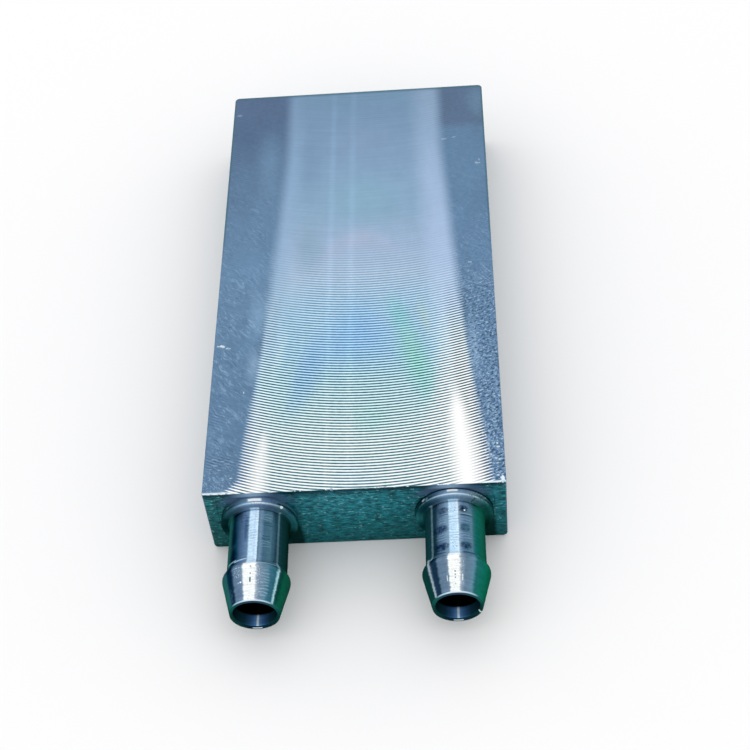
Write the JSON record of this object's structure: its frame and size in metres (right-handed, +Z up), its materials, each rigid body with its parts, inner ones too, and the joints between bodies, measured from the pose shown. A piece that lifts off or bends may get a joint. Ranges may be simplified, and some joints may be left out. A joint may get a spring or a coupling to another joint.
{
  "type": "liquid cooling block",
  "caption": "Flat aluminium liquid cooling block with a fly-cut top face, internal finned channels and two hose barbs side by side on one end.",
  "frame": {"origin": "centre of the base face of the block, nozzles not counted", "axes": "+Z up through the block's thickness, +Y along the block away from the nozzles, +X across it, towards the outlet nozzle"},
  "size_m": [0.04, 0.095, 0.012],
  "materials": {
    "milled_aluminium": "fly-cut in fine arcs on top, brushed on the ends",
    "plug_aluminium": "finely brushed across",
    "turned_aluminium": "bright turned, with fine lathe marks",
    "sealant": "cured sealant, matt"
  },
  "bodies": {
    "root": {"channel_body": "milled_aluminium", "front_plug": "plug_aluminium", "rear_plug": "plug_aluminium", "front_plug_seal": "sealant", "rear_plug_seal": "sealant", "inlet_nozzle": "turned_aluminium", "outlet_nozzle": "turned_aluminium", "inlet_seal_ring": "sealant", "outlet_seal_ring": "sealant"}
  },
  "joints": []
}
